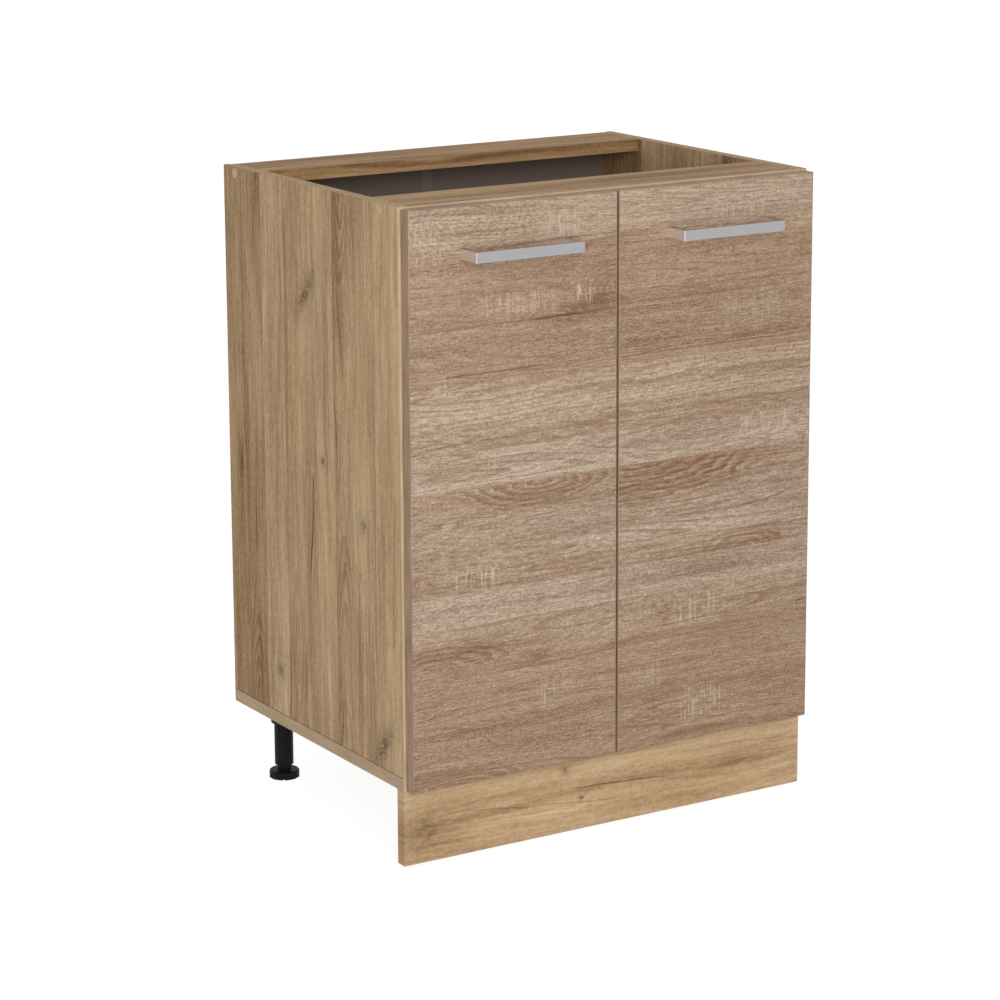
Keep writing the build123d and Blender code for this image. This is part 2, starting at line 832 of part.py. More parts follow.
flange_holes = [place * screw_hole() for place in leg_screw_places()]
for corner, (across, depth) in leg_places.items():
    stand = Pos(across, depth, 0)
    write_piece("leg_socket_" + corner, stand * leg_socket() - flange_holes)
    write_piece("leg_tube_" + corner, stand * leg_tube())
    write_piece("leg_foot_" + corner, stand * leg_foot())
base_screw_places = leg_screw_places() + clip_screw_places()
write_piece("base_screws", *[place * screw() for place in base_screw_places])
write_piece("plinth_board", plinth_board())
write_piece("plinth_clips", *both_sides([plinth_clip()]))

write_pair("door", [door_board()])
write_pair("door_edge_bands", door_bands())
write_pair("handle", [handle()])
write_pair("handle_screws", [place * handle_screw() for place in handle_screw_places()])

for level, place in hinge_places.items():
    write_pair("hinge_plate_" + level, [mounting_plate(place)])
    write_pair("hinge_arm_" + level, [place * hinge_arm()])
    write_pair("hinge_cup_" + level, [place * hinge_cup()])
middles = hinge_places.values()
cup_pivots = (outer_cup_pivot, inner_cup_pivot)
arm_pivots = (outer_arm_pivot, inner_arm_pivot)
cup_screws = [hole * screw() for hole in cup_screw_places()]
arm_screws = [hole * screw(arm_screw_length) for hole in arm_screw_places()]
cup_pins = [hinge_pin(pivot, lug_reach) for pivot in cup_pivots]
arm_pins = [hinge_pin(pivot, arm_outer_width) for pivot in arm_pivots]
plate_screws = [place * screw() for place in plate_screw_places()]
plate_screws += [place * part for place in middles for part in arm_screws]
write_pair("hinge_outer_links", [place * outer_link() for place in middles])
write_pair("hinge_inner_links", [place * inner_link() for place in middles])
write_pair("hinge_cup_screws", [place * part for place in middles for part in cup_screws])
write_pair("hinge_cup_pins", [place * pin for place in middles for pin in cup_pins])
write_piece("hinge_arm_pins", *both_sides([place * pin for place in middles for pin in arm_pins]))
write_piece("hinge_plate_screws", *both_sides(plate_screws))
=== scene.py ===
import math

import bpy
from mathutils import Matrix, Vector

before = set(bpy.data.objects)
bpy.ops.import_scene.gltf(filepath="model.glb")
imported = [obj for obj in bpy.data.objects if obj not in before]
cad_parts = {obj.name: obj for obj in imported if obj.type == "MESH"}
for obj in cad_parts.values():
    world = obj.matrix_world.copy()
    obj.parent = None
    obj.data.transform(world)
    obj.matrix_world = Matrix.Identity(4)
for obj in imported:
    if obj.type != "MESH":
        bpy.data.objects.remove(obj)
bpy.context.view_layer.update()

# Sizes are in metres, in the part's own frame: the cabinet's middle is at x = 0, the carcass's front
# plane at y = carcass_front, and the floor at z = 0.
carcass_front = -0.195
carcass_depth = 0.446
carcass_low = 0.1
carcass_high = 0.82
board_thickness = 0.016
door_high = 0.8177
door_outer = 0.297
side_bands_from = 0.283

# Features per metre, the pairs along the grain and across it
knot_grit = (260, 320)
clouding = (4, 6)
saw_strokes = (430, 12)
saw_wear = (90, 110)
chip_scale = 420
brush_along = 30
brush_across = 2600
mesh_scale = 520

# Oak: the step in the noise from seed to seed, a knot's halo against its core, and how uneven the
# arches are
seed_stride = 37
halo_size = 2.6
halo_depth = 0.18
arch_roughness = 0.24

# The studio: the floor's reach in metres, its glow and the share of it that the camera sees, and the
# sky's strength
floor_reach = 60
floor_glow = 1.23
floor_glow_share = 0.75
sky_on_object = 0.5
sky_as_seen = 1

# The photograph's camera
camera_place = (-2.179, -3.448, 1.390)
camera_azimuth = -31.832
camera_elevation = 12.048
camera_roll = -0.261
camera_focal_pixels = 3231
image_pixels = 1000
camera_shift = (0, -0.10)


class Shader:
    """A node material: each method adds one node or a small sum of nodes, and returns its output."""

    def __init__(self, name):
        self.material = bpy.data.materials.new(name)
        self.material.use_nodes = True
        self.nodes = self.material.node_tree.nodes
        self.links = self.material.node_tree.links
        self.nodes.clear()
        self.surface = self.nodes.new("ShaderNodeBsdfPrincipled")
        self.output = self.nodes.new("ShaderNodeOutputMaterial")
        self.links.new(self.surface.outputs[0], self.output.inputs["Surface"])
        coordinates = self.nodes.new("ShaderNodeTexCoord")
        self.place = coordinates.outputs["Object"]
        self.normal = coordinates.outputs["Normal"]

    def feed(self, socket, value):
        """Links an output to a socket, or sets the socket to a plain value."""
        if isinstance(value, bpy.types.NodeSocket):
            self.links.new(value, socket)
        else:
            socket.default_value = value

    def set(self, **values):
        """Sets the surface's own sockets, with underscores for the spaces in their names."""
        for name, value in values.items():
            self.feed(self.surface.inputs[name.replace("_", " ")], value)

    def math(self, operation, *values, clamp=False):
        node = self.nodes.new("ShaderNodeMath")
        node.operation = operation
        node.use_clamp = clamp
        for socket, value in zip(node.inputs, values):
            self.feed(socket, value)
        return node.outputs[0]

    def add(self, *values):
        total = values[0]
        for value in values[1:]:
            total = self.math("ADD", total, value)
        return total

    def times(self, *values):
        product = values[0]
        for value in values[1:]:
            product = self.math("MULTIPLY", product, value)
        return product

    def less(self, value, other):
        return self.math("SUBTRACT", value, other)

    def around(self, value, share):
        """A value from 0 to 1 moved to lie around 0, times a share."""
        return self.times(self.less(value, 0.5), share)

    def swap(self, share, first, second):
        """The first number turned into the second by a share."""
        return self.add(first, self.times(share, self.less(second, first)))

    def split(self, vector):
        node = self.nodes.new("ShaderNodeSeparateXYZ")
        self.feed(node.inputs[0], vector)
        return node.outputs

    def join(self, x, y, z):
        node = self.nodes.new("ShaderNodeCombineXYZ")
        for socket, value in zip(node.inputs, (x, y, z)):
            self.feed(socket, value)
        return node.outputs[0]

    def facing(self, axis):
        """1 on the faces turned along an axis, either way, and 0 on the others."""
        return self.math("GREATER_THAN", self.math("ABSOLUTE", self.split(self.normal)[axis]), 0.5)

    def noise(self, x, y, z=0, detail=2, roughness=0.5, distortion=0):
        """Smooth noise from 0 to 1 with features about one unit across."""
        node = self.nodes.new("ShaderNodeTexNoise")
        self.feed(node.inputs["Vector"], self.join(x, y, z))
        node.inputs["Scale"].default_value = 1
        node.inputs["Detail"].default_value = detail
        node.inputs["Roughness"].default_value = roughness
        node.inputs["Distortion"].default_value = distortion
        return node.outputs["Fac"]

    def ease(self, value, low, high, start=0, end=1):
        """A smooth step from start at low to end at high."""
        node = self.nodes.new("ShaderNodeMapRange")
        node.interpolation_type = "SMOOTHSTEP"
        for socket, each in zip(node.inputs, (value, low, high, start, end)):
            self.feed(socket, each)
        return node.outputs[0]

    def ramp(self, value, stops, interpolation="LINEAR"):
        """A colour for each value, from stops of place and colour."""
        node = self.nodes.new("ShaderNodeValToRGB")
        node.color_ramp.interpolation = interpolation
        elements = node.color_ramp.elements
        while len(elements) < len(stops):
            elements.new(1)
        for element, (place, colour) in zip(elements, stops):
            element.position = place
            element.color = (*colour, 1)
        self.feed(node.inputs[0], value)
        return node.outputs[0]

    def blend(self, share, first, second):
        """The first colour turned into the second by a share."""
        node = self.nodes.new("ShaderNodeMix")
        node.data_type = "RGBA"
        self.feed(node.inputs["Factor"], share)
        for socket, colour in ((node.inputs[6], first), (node.inputs[7], second)):
            self.feed(socket, (*colour, 1) if isinstance(colour, tuple) else colour)
        return node.outputs[2]

    def bump(self, height, distance, strength):
        node = self.nodes.new("ShaderNodeBump")
        node.inputs["Strength"].default_value = strength
        node.inputs["Distance"].default_value = distance
        self.feed(node.inputs["Height"], height)
        self.feed(self.surface.inputs["Normal"], node.outputs[0])


def srgb(red, green, blue):
    """A colour written in screen values from 0 to 255, as linear light."""
    return tuple(
        share / 12.92 if share <= 0.04045 else ((share + 0.055) / 1.055) ** 2.4
        for share in (red / 255, green / 255, blue / 255)
    )


def scaled(colour, share):
    """A colour made darker or lighter."""
    return tuple(min(1, channel * share) for channel in colour)


def oval(shader, off_along, off_across, size):
    """The square of how far out in an oval: 0 at its centre and 1 at its edge."""
    reach_along = shader.math("DIVIDE", off_along, size[0])
    reach_across = shader.math("DIVIDE", off_across, size[1])
    return shader.add(shader.times(reach_along, reach_along), shader.times(reach_across, reach_across))


def spot(shader, along, across, centre, size, lean=0):
    """A soft oval from 1 at its centre to 0, leaning across by a share of its way along."""
    off_along = shader.less(along, centre[0])
    off_across = shader.less(shader.less(across, centre[1]), shader.times(off_along, lean))
    return shader.math("EXPONENT", shader.times(oval(shader, off_along, off_across, size), -1))


def streak(shader, along, across, start, end, width):
    """A tapered dark line between two points, from 1 on the line to 0 at its edge."""
    share = shader.math("DIVIDE", shader.less(along, start[0]), end[0] - start[0], clamp=True)
    line = shader.add(start[1], shader.times(share, end[1] - start[1]))
    taper = shader.math("SQRT", shader.times(share, shader.less(1, share)))
    off_line = shader.math("ABSOLUTE", shader.less(across, line))
    return shader.ease(off_line, shader.times(taper, 2 * width), 0)


def patch(shader, along, across, centre, size):
    """1 inside a box with soft sides, 0 outside."""
    off_along = shader.math("ABSOLUTE", shader.less(along, centre[0]))
    off_across = shader.math("ABSOLUTE", shader.less(across, centre[1]))
    return shader.times(
        shader.ease(off_along, size[0], size[0] * 0.6),
        shader.ease(off_across, size[1], size[1] * 0.5),
    )


def cathedral(shader, along, across, rough, centre, size, count, across_span, along_span):
    """Nested arches of a flat-sawn plank: rings round a centre, kept to the spans that show them."""
    square = oval(shader, shader.less(along, centre[0]), shader.less(across, centre[1]), size)
    reach = shader.add(shader.math("SQRT", square), shader.around(rough, arch_roughness))
    turn = shader.math("FRACT", shader.times(reach, count))
    line = shader.times(shader.ease(turn, 0.1, 0.88), shader.ease(turn, 1, 0.9))
    inside = shader.ease(reach, 1.05, 0.7)
    for place, (low, high, fade) in ((across, across_span), (along, along_span)):
        risen = shader.ease(place, low, low + fade)
        inside = shader.times(inside, risen, shader.ease(place, high, high - fade))
    return shader.times(line, inside)


def oak(
    name, axes, planks, colours, looks, raw=(), knots=(), cracks=(), arches=(), saws=(), shades=(), fold=()
):
    """Printed oak, with raw chipboard on the faces across the raw axes.

    Its axes are those of the grain and across it, with a fold axis for the faces turned away. Places
    and sizes are given along the grain and across it:
    - a plank: where it starts across, and its lightness, warmth and seed
    - a knot: centre, size, lean, depth
    - a crack: start, end, width, depth
    - a set of arches: centre, size, number of rings, depth, span across, span along
    - a patch of saw marks: centre, size, depth
    - a shade: centre, size, lift in lightness
    """
    shader = Shader(name)
    xyz = shader.split(shader.place)
    along, across = (xyz[axis] for axis in axes)
    across = shader.add(across, *(xyz[axis] for axis in fold))
    low, high = planks["range"]
    place = shader.math("DIVIDE", shader.less(across, low), high - low)
    stops = [((start - low) / (high - low), tones) for start, tones in planks["stops"]]
    tone, warmth, seed = shader.split(shader.ramp(place, stops, "CONSTANT"))
    shift = shader.times(seed, seed_stride)
    flow = across

    def flecks(scales, detail=2):
        """Noise that keeps to the plain axes, from its features per metre."""
        return shader.noise(
            shader.times(along, scales[0]), shader.times(across, scales[1]), shift, detail=detail
        )

    def grain(size, lane, detail=2, roughness=0.5, distortion=0):
        """Noise with lines along the grain, from their length and spacing in metres."""
        return shader.noise(
            shader.times(along, 1 / size[0]), shader.times(flow, 1 / size[1]), shader.add(shift, lane),
            detail=detail, roughness=roughness, distortion=distortion,
        )

    bend = grain(looks["bend"], detail=1, lane=3)
    wavy = grain(looks["wave"], lane=5)
    flow = shader.add(
        across, shader.around(bend, looks["bend_reach"]), shader.around(wavy, looks["wave_reach"])
    )
    dark = 0
    for centre, size, lean, depth in knots:
        near = spot(shader, along, across, centre, size, lean)
        wide = spot(shader, along, across, centre, (size[0] * halo_size, size[1] * halo_size), lean)
        off = shader.less(across, centre[1])
        flow = shader.less(flow, shader.times(wide, off, 0.6 if lean == 0 else 0.1))
        core = shader.times(near, shader.ease(flecks(knot_grit, detail=3), 0.32, 0.6), depth)
        dark = shader.add(dark, core, shader.times(wide, depth * halo_depth))

    broad = grain(looks["broad"], lane=1)
    bands = grain(looks["bands"], detail=3, roughness=0.6, lane=2)
    lines = grain(looks["lines"], detail=3, roughness=0.6, lane=4)
    fibre = grain(looks["fibre"], roughness=0.6, lane=6)
    pores = grain(looks["pore"], distortion=looks["pore_twist"], lane=8)
    pore = shader.ease(pores, looks["pore_start"], looks["pore_start"] + 0.14)
    crosswise = flecks(looks["crosswise"])
    cloud = flecks(clouding)

    figure = grain(looks["figure"], detail=1, lane=10)
    turn = shader.math("FRACT", shader.times(figure, looks["figure_rings"]))
    ring = shader.times(shader.ease(turn, 0.6, 0.95), shader.ease(turn, 1, 0.95), looks["figure_share"])
    arch = shader.times(ring, shader.ease(cloud, 0.35, 0.65, 0.4, 1))
    for centre, size, count, depth, across_span, along_span in arches:
        each = cathedral(shader, along, across, wavy, centre, size, count, across_span, along_span)
        arch = shader.add(arch, shader.times(each, depth))
    wobble = shader.add(across, shader.around(wavy, looks["crack_wobble"]))
    for start, end, width, depth in cracks:
        dark = shader.add(dark, shader.times(streak(shader, along, wobble, start, end, width), depth))

    level = shader.add(
        shader.around(tone, looks["plank_share"]),
        shader.around(broad, looks["broad_share"]),
        shader.around(bands, looks["bands_share"]),
        shader.around(lines, looks["lines_share"]),
        shader.around(fibre, looks["fibre_share"]),
        shader.around(crosswise, looks["crosswise_share"]),
        shader.around(cloud, looks["cloud_share"]),
        0.5,
    )
    for centre, size, lift in shades:
        level = shader.add(level, shader.times(spot(shader, along, across, centre, size), lift))
    colour = shader.ramp(level, [(0, colours["dark"]), (0.5, colours["middle"]), (1, colours["light"])])
    colour = shader.blend(shader.times(warmth, looks["warm_share"]), colour, colours["warm"])
    colour = shader.blend(shader.math("MINIMUM", arch, 1), colour, colours["ring"])
    colour = shader.blend(shader.times(pore, looks["pore_share"]), colour, colours["pore"])
    if saws:
        strokes = flecks(saw_strokes)
        ragged = flecks(saw_wear)
        mark = 0
        for centre, size, depth in saws:
            mark = shader.add(mark, shader.times(patch(shader, along, across, centre, size), depth))
        mark = shader.times(mark, shader.ease(strokes, 0.46, 0.62), shader.ease(ragged, 0.36, 0.56))
        colour = shader.blend(mark, colour, colours["saw"])
    if knots or cracks:
        colour = shader.blend(shader.math("MINIMUM", dark, 1), colour, colours["knot"])

    faces = shader.split(shader.normal)
    cut = 0
    for axis in raw:
        cut = shader.math("MAXIMUM", cut, shader.ease(shader.math("ABSOLUTE", faces[axis]), 0.4, 0.6))
    chips = shader.noise(*(shader.times(each, chip_scale) for each in xyz), detail=3, roughness=0.7)
    chipboard = shader.ramp(
        chips, [(0.3, srgb(140, 112, 80)), (0.5, srgb(190, 162, 124)), (0.68, srgb(228, 206, 172))]
    )
    shader.set(Base_Color=shader.blend(cut, colour, chipboard))
    rough = shader.ease(fibre, 0.2, 0.8, *looks["roughness"])
    shader.set(Roughness=shader.ease(cut, 0, 1, rough, 0.85))
    shader.set(Specular_IOR_Level=looks["specular"])
    height = shader.add(shader.times(fibre, 0.5), shader.times(pore, -0.5), shader.times(cut, chips))
    shader.bump(height, distance=0.0002, strength=0.3)
    return shader.material


def band_wood(name, colour, variation, end_axes, end_shade=0):
    """Printed edge band, darker on its end faces by end_shade. Its grain runs along each band: on the
    end faces along the first of the two end_axes, and on the others upright near the sides."""
    shader = Shader(name)
    x, y, z = shader.split(shader.place)
    end_face = shader.facing(0)
    upright = shader.math("GREATER_THAN", shader.math("ABSOLUTE", x), side_bands_from)
    end_along, end_across = ((x, y, z)[axis] for axis in end_axes)
    along = shader.swap(end_face, shader.swap(upright, x, z), end_along)
    across = shader.swap(end_face, shader.swap(upright, z, x), end_across)
    lines = shader.noise(shader.times(along, 14), shader.times(across, 420), detail=3, roughness=0.6)
    clouds = shader.noise(shader.times(along, 16), shader.times(across, 60), 3, detail=2)
    level = shader.add(shader.times(lines, 0.6), shader.times(clouds, 0.4))
    darker, lighter = scaled(colour, 1 - variation), scaled(colour, 1 + variation)
    shown = shader.ramp(level, [(0.36, darker), (0.5, colour), (0.66, lighter)])
    shown = shader.blend(shader.times(end_face, end_shade), shown, (0.20, 0.13, 0.06))
    shader.set(Base_Color=shown)
    shader.set(Roughness=shader.ease(lines, 0.3, 0.7, 0.45, 0.6), Specular_IOR_Level=0.2)
    shader.bump(lines, distance=0.0001, strength=0.3)
    return shader.material


def hardboard(name, inner, outer):
    """The back's thin board: painted inside, raw hardboard with a pressed mesh outside."""
    shader = Shader(name)
    x, y, z = (shader.times(each, mesh_scale) for each in shader.split(shader.place))
    grain = shader.noise(x, y, z, detail=4, roughness=0.6)
    outside = shader.math("GREATER_THAN", shader.split(shader.normal)[1], 0.5)
    tinted = shader.ramp(grain, [(0.3, scaled(inner, 0.92)), (0.7, inner)])
    raw = shader.ramp(grain, [(0.3, scaled(outer, 0.72)), (0.7, outer)])
    mesh = shader.times(shader.math("SINE", shader.times(x, 6)), shader.math("SINE", shader.times(z, 6)))
    shader.set(Base_Color=shader.blend(outside, tinted, raw))
    shader.set(Roughness=shader.ease(outside, 0, 1, 0.5, 0.85), Specular_IOR_Level=0.3)
    shader.bump(shader.add(grain, shader.times(outside, mesh, 0.5)), distance=0.00008, strength=0.5)
    return shader.material


def speckled(name, colour, variation, roughness, scale, bump, specular=0.5):
    """A plain moulded or wooden surface with a little variation."""
    shader = Shader(name)
    x, y, z = (shader.times(each, scale) for each in shader.split(shader.place))
    grain = shader.noise(x, y, z, detail=4, roughness=0.6)
    darker, lighter = scaled(colour, 1 - variation), scaled(colour, 1 + variation)
    shader.set(Base_Color=shader.ramp(grain, [(0.3, darker), (0.7, lighter)]))
    shader.set(Roughness=shader.ease(grain, 0.2, 0.8, *roughness), Specular_IOR_Level=specular)
    shader.bump(grain, distance=bump, strength=0.5)
    return shader.material


def brushing(shader, axis):
    """The fine lines of metal brushed along one axis."""
    scales = [brush_across] * 3
    scales[axis] = brush_along
    lines = (shader.times(each, scale) for each, scale in zip(shader.split(shader.place), scales))
    return shader.noise(*lines, detail=3)


def satin_bow(name, colour, painted_sheen_colour):
    """Satin aluminium of a handle: brushed along its bar, and smoother on the legs' sides, which are
    painted lighter as a painted sheen.
    """
    shader = Shader(name)
    grain = brushing(shader, 0)
    side = shader.facing(0)
    bar = shader.ramp(grain, [(0.3, scaled(colour, 0.93)), (0.7, colour)])
    # The legs' sides take the lighter colour and less metal: a painted sheen
    shader.set(Base_Color=shader.blend(side, bar, painted_sheen_colour), Metallic=shader.ease(side, 0, 1, 1, 0.6))
    shader.set(Roughness=shader.ease(shader.add(side, grain), 0.3, 1.3, 0.26, 0.16))
    shader.bump(grain, distance=0.00001, strength=0.3)
    return shader.material


def brushed(name, colour, roughness, axis):
    """Satin metal, brushed along one axis."""
    shader = Shader(name)
    grain = brushing(shader, axis)
    shader.set(Base_Color=shader.ramp(grain, [(0.3, scaled(colour, 0.93)), (0.7, colour)]))
    shader.set(Roughness=shader.ease(grain, 0.2, 0.8, *roughness), Metallic=1)
    shader.bump(grain, distance=0.00002, strength=0.4)
    return shader.material


# Oak of the carcass
carcass_colours = {
    "dark": srgb(108, 78, 50), "middle": srgb(186, 156, 120), "light": srgb(224, 198, 160),
    "warm": srgb(184, 142, 96), "ring": srgb(112, 82, 54), "pore": srgb(130, 100, 68),
    "knot": srgb(78, 57, 39),
}
carcass_looks = {
    "bend": (0.4, 0.07), "bend_reach": 0.026, "wave": (0.08, 0.02), "wave_reach": 0.007,
    "crack_wobble": 0.008, "broad": (0.7, 0.030), "bands": (0.35, 0.012), "lines": (0.12, 0.005),
    "fibre": (0.05, 0.0026), "pore": (0.016, 0.002), "pore_start": 0.56, "pore_twist": 0.8,
    "plank_share": 1.2, "broad_share": 0.75, "bands_share": 0.75, "lines_share": 0.65,
    "fibre_share": 0.5, "crosswise": (170, 260), "crosswise_share": 0.5, "cloud_share": 0.6,
    "warm_share": 0.4, "pore_share": 0.25, "roughness": (0.55, 0.68), "specular": 0.12,
    "figure": (0.5, 0.035), "figure_rings": 14, "figure_share": 0.22,
}


def side_place(right, down):
    """A place on the left side: distances from the rear edge and from the top, as height and depth."""
    return (carcass_high - down, carcass_front + carcass_depth - right)


side_planks = {
    "range": (carcass_front, carcass_front + carcass_depth),
    "stops": [
        (side_place(carcass_depth, 0)[1], (0.60, 0.25, 0.1)),
        (side_place(0.386, 0)[1], (0.54, 0.2, 0.3)),
        (side_place(0.330, 0)[1], (0.45, 0.3, 0.5)),
        (side_place(0.284, 0)[1], (0.57, 0.2, 0.7)),
        (side_place(0.240, 0)[1], (0.49, 0.35, 0.2)),
        (side_place(0.158, 0)[1], (0.58, 0.15, 0.8)),
        (side_place(0.101, 0)[1], (0.44, 0.35, 0.4)),
    ],
}
side_knots = [
    (side_place(0.214, 0.137), (0.024, 0.010), -0.7, 0.75),
    (side_place(0.398, 0.675), (0.024, 0.012), -0.67, 0.75),
    (side_place(0.253, 0.343), (0.005, 0.005), 0, 1),
    (side_place(0.356, 0.405), (0.008, 0.006), 0, 0.7),
    (side_place(0.034, 0.386), (0.016, 0.004), 0, 0.9),
    (side_place(0.131, 0.645), (0.007, 0.007), 0, 0.6),
    (side_place(0.307, 0.465), (0.016, 0.004), -0.2, 0.6),
]
side_cracks = [
    (side_place(0.218, 0.505), side_place(0.229, 0.362), 0.0028, 1),
    (side_place(0.291, 0.345), side_place(0.284, 0.262), 0.0018, 0.8),
    (side_place(0.309, 0.235), side_place(0.298, 0.150), 0.0022, 0.6),
    (side_place(0.070, 0.500), side_place(0.072, 0.400), 0.0018, 0.8),
    (side_place(0.156, 0.712), side_place(0.159, 0.612), 0.0026, 0.8),
    (side_place(0.293, 0.712), side_place(0.297, 0.650), 0.0018, 0.8),
    (side_place(0.200, 0.675), side_place(0.204, 0.585), 0.0030, 0.5),
    (side_place(0.079, 0.120), side_place(0.077, 0.010), 0.0016, 0.5),
    (side_place(0.382, 0.590), side_place(0.387, 0.090), 0.0016, 0.45),
    (side_place(0.243, 0.300), side_place(0.240, 0.020), 0.0016, 0.4),
    (side_place(0.050, 0.640), side_place(0.068, 0.520), 0.0026, 0.5),
    (side_place(0.366, 0.560), side_place(0.366, 0.500), 0.0014, 0.6),
    (side_place(0.160, 0.370), side_place(0.158, 0.250), 0.0014, 0.35),
    (side_place(0.424, 0.580), side_place(0.432, 0.340), 0.0018, 0.35),
]
# Spans: from where, to where, and how soon it fades in and out
sharp = 0.0002
everywhere = (-1, 1, sharp)
rear_plank = (side_place(0.101, 0)[1], 1, sharp)
dark_plank = (side_place(0.330, 0)[1], side_place(0.284, 0)[1], sharp)
side_arches = [
    (side_place(0.072, 0.730), (0.175, 0.032), 6, 0.55, rear_plank, everywhere),
    (side_place(0.306, 0.580), (0.190, 0.030), 5, 0.4, dark_plank, (side_place(0, 0.600)[0], 1, 0.09)),
    (side_place(0.300, 0.740), (0.140, 0.034), 4, 0.25, dark_plank, everywhere),
    (side_place(0.304, -0.060), (0.210, 0.028), 6, 0.55, dark_plank, everywhere),
    (side_place(0.087, 0.385), (0.060, 0.014), 3, 0.3, rear_plank, everywhere),
    (side_place(0.180, 0.600), (0.160, 0.020), 3, 0.25, everywhere, everywhere),
]
side_shades = [
    (side_place(0.045, 0.300), (0.40, 0.024), -0.22),
    (side_place(0.095, 0.650), (0.12, 0.020), -0.10),
    (side_place(0.345, 0.600), (0.12, 0.020), -0.12),
    (side_place(0.430, 0.400), (0.50, 0.014), 0.10),
    (side_place(0.200, 0.360), (0.20, 0.030), 0.12),
    (side_place(0.306, 0.350), (0.13, 0.018), -0.18),
    (side_place(0.358, 0.350), (0.12, 0.020), 0.10),
    # A thin painted shade line along the seam where the side stands on the bottom panel
    ((carcass_low + board_thickness, 0.02), (0.0009, 5), -1.1),
]
side_oak = oak(
    "side_oak", (2, 1), side_planks, carcass_colours, carcass_looks, (1, 2), side_knots, side_cracks,
    side_arches, shades=side_shades,
)
# Rails, bottom and shelf: across is depth plus height, so that the front faces go on from the top
rail_low = carcass_front + carcass_high
# The rails' plank tones are set low: partly the wood's own tone, partly painted shade on their top faces
rail_planks = {
    "range": (rail_low, rail_low + carcass_depth),
    "stops": [(rail_low, (0.38, 0.8, 0.35)), (rail_low + 0.2, (0.34, 0.8, 0.65))],
}
rail_colours = {
    **carcass_colours,
    "dark": srgb(104, 72, 42), "middle": srgb(182, 149, 108), "light": srgb(220, 190, 146),
}
rail_looks = {**carcass_looks, "broad_share": 1.2, "bands_share": 1.3, "lines_share": 0.9}
rail_cracks = [
    ((-0.20, rail_low + 0.030), (-0.02, rail_low + 0.040), 0.0020, 0.6),
    ((0.02, rail_low + 0.400), (0.24, rail_low + 0.385), 0.0024, 0.6),
    ((-0.24, rail_low + 0.420), (-0.10, rail_low + 0.428), 0.0020, 0.5),
]
rail_shades_and_painted_light = [
    # The first two lift the rear rail's front face, which faces the lamp, more towards the right: painted
    # light
    ((0, rail_low + 0.337), (5, 0.009), 0.40),
    ((0.2, rail_low + 0.337), (0.12, 0.009), 0.2),
    ((-0.05, rail_low + 0.085), (0.2, 0.006), 0.2),
    ((0.15, rail_low + 0.060), (0.2, 0.006), -0.2),
]
rail_oak = oak(
    "rail_oak", (0, 1), rail_planks, rail_colours, rail_looks, (0,), cracks=rail_cracks,
    shades=rail_shades_and_painted_light, fold=(2,),
)
# One plank, but a ramp has two stops
plinth_planks = {"range": (0, carcass_low), "stops": [(0, (0.56, 0.2, 0.15)), (0.099, (0.56, 0.2, 0.2))]}
plinth_knots = [
    ((-0.272, 0.050), (0.010, 0.010), 0.6, 0.55),
    ((-0.262, 0.038), (0.008, 0.006), 0.6, 0.4),
    ((-0.066, 0.086), (0.004, 0.003), 0, 0.8),
    ((-0.041, 0.045), (0.003, 0.002), 0, 0.8),
]
plinth_cracks = [
    ((-0.06, 0.061), (0.097, 0.049), 0.0013, 0.9),
    ((-0.24, 0.062), (0.04, 0.030), 0.0014, 0.4),
    ((0.10, 0.080), (0.26, 0.072), 0.0010, 0.3),
]
plinth_shades = [
    ((0.21, 0.050), (0.12, 0.009), -0.24),
    ((-0.12, 0.066), (0.13, 0.006), -0.16),
    ((0.02, 0.058), (0.10, 0.005), -0.12),
    ((-0.26, 0.045), (0.05, 0.030), -0.12),
    ((0.05, 0.085), (0.35, 0.008), 0.14),
    ((-0.10, 0.030), (0.16, 0.020), 0.12),
]
plinth_looks = {**carcass_looks, "bands_share": 0.5, "lines_share": 0.5, "figure_share": 0.15}
plinth_oak = oak(
    "plinth_oak", (0, 2), plinth_planks, carcass_colours, plinth_looks, (), plinth_knots, plinth_cracks,
    shades=plinth_shades,
)

# Oak of the doors
door_colours = {
    "dark": srgb(100, 72, 52), "middle": srgb(177, 155, 134), "light": srgb(222, 208, 186),
    "warm": srgb(176, 134, 100), "ring": srgb(124, 86, 58), "pore": srgb(116, 86, 62),
    "knot": srgb(90, 60, 40), "saw": srgb(212, 194, 170),
}
door_looks = {
    "bend": (0.32, 0.05), "bend_reach": 0.020, "wave": (0.05, 0.012), "wave_reach": 0.004,
    "crack_wobble": 0.004, "broad": (0.6, 0.026), "bands": (0.30, 0.012), "lines": (0.14, 0.0045),
    "fibre": (0.016, 0.0015), "pore": (0.011, 0.0017), "pore_start": 0.5, "pore_twist": 1.6,
    "plank_share": 1.3, "broad_share": 0.5, "bands_share": 0.42, "lines_share": 0.24,
    "fibre_share": 0.8, "crosswise": (340, 460), "crosswise_share": 0.9, "cloud_share": 0.25,
    "warm_share": 0.6, "pore_share": 0.5, "roughness": (0.5, 0.62), "specular": 0.2,
    "figure": (0.9, 0.045), "figure_rings": 20, "figure_share": 0.5,
}


def door_place(right, down):
    """A place on the doors' faces: distances from the left door's outer edge and from its top."""
    return (-door_outer + right, door_high - down)


